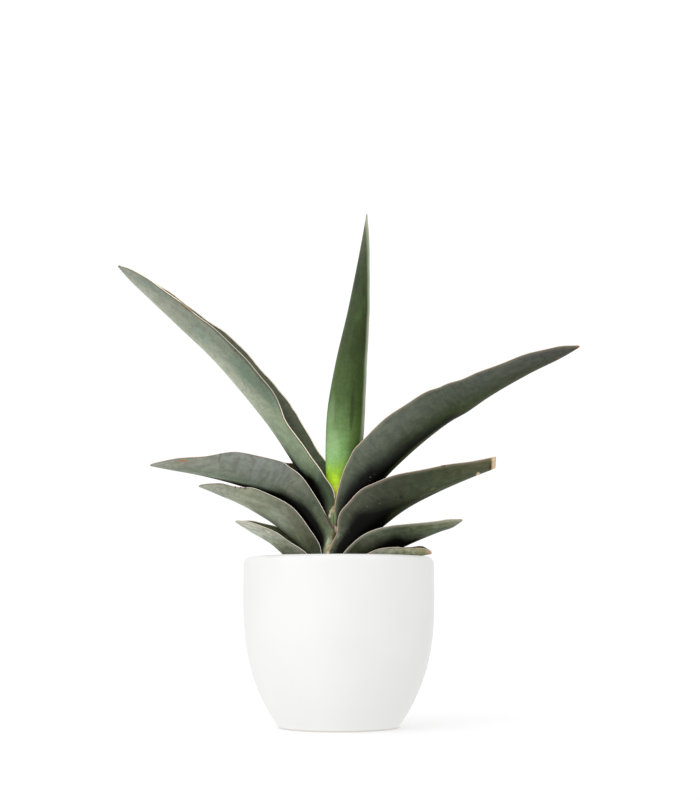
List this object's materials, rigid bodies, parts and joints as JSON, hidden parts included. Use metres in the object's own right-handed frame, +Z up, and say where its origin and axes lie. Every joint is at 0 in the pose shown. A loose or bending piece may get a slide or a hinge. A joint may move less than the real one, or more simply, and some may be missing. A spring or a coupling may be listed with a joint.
{
  "type": "potted robusta snake plant",
  "caption": "Young snake plant with stiff channelled leaves fanned to both sides, standing in soil in a plain round white ceramic pot.",
  "frame": {"origin": "centre of the pot's flat underside", "axes": "+Z up, the two ranks of leaves spread along X, and -Y is the side that the picture shows"},
  "size_m": [0.3422, 0.137, 0.377],
  "materials": {
    "pot": "plain white satin glaze",
    "soil": "loose dark potting soil",
    "stem": "dull fibrous skin",
    "leaf_young": "smooth waxy bright green skin",
    "leaf_grey_green": "smooth waxy grey-green skin",
    "leaf_dark_green": "smooth waxy dark green skin"
  },
  "bodies": {
    "root": {"pot": "pot", "soil": "soil", "stem": "stem", "leaf_centre": "leaf_young", "leaf_upper_left": "leaf_grey_green", "leaf_upper_right": "leaf_dark_green", "leaf_mid_left": "leaf_grey_green", "leaf_mid_right": "leaf_dark_green", "leaf_lower_left": "leaf_grey_green", "leaf_lower_right": "leaf_dark_green", "leaf_lowest_left": "leaf_grey_green", "leaf_lowest_right": "leaf_dark_green"}
  },
  "joints": []
}
